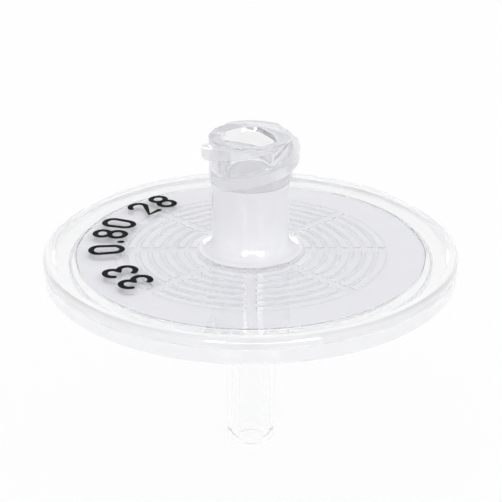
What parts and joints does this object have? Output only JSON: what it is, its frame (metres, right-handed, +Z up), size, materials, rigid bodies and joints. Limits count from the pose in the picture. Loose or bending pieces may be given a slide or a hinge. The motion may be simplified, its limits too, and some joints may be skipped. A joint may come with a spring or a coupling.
{
  "type": "syringe filter",
  "caption": "Round flat membrane filter unit in clear plastic, with a threaded female Luer lock inlet on top and a tapered male Luer slip outlet below.",
  "frame": {"origin": "centre of the outlet tip's end face, where the unit stands", "axes": "+Z up the flow axis from the outlet to the inlet; +X and +Y across the disc, with one of the eight radial flow channels along +X"},
  "size_m": [0.0336, 0.0336, 0.0274],
  "materials": {
    "clear_housing": "clear, moulded, glossy",
    "membrane": "white microporous film, matte"
  },
  "bodies": {
    "root": {"outlet_housing": "clear_housing", "membrane": "membrane", "inlet_housing": "clear_housing"}
  },
  "joints": []
}
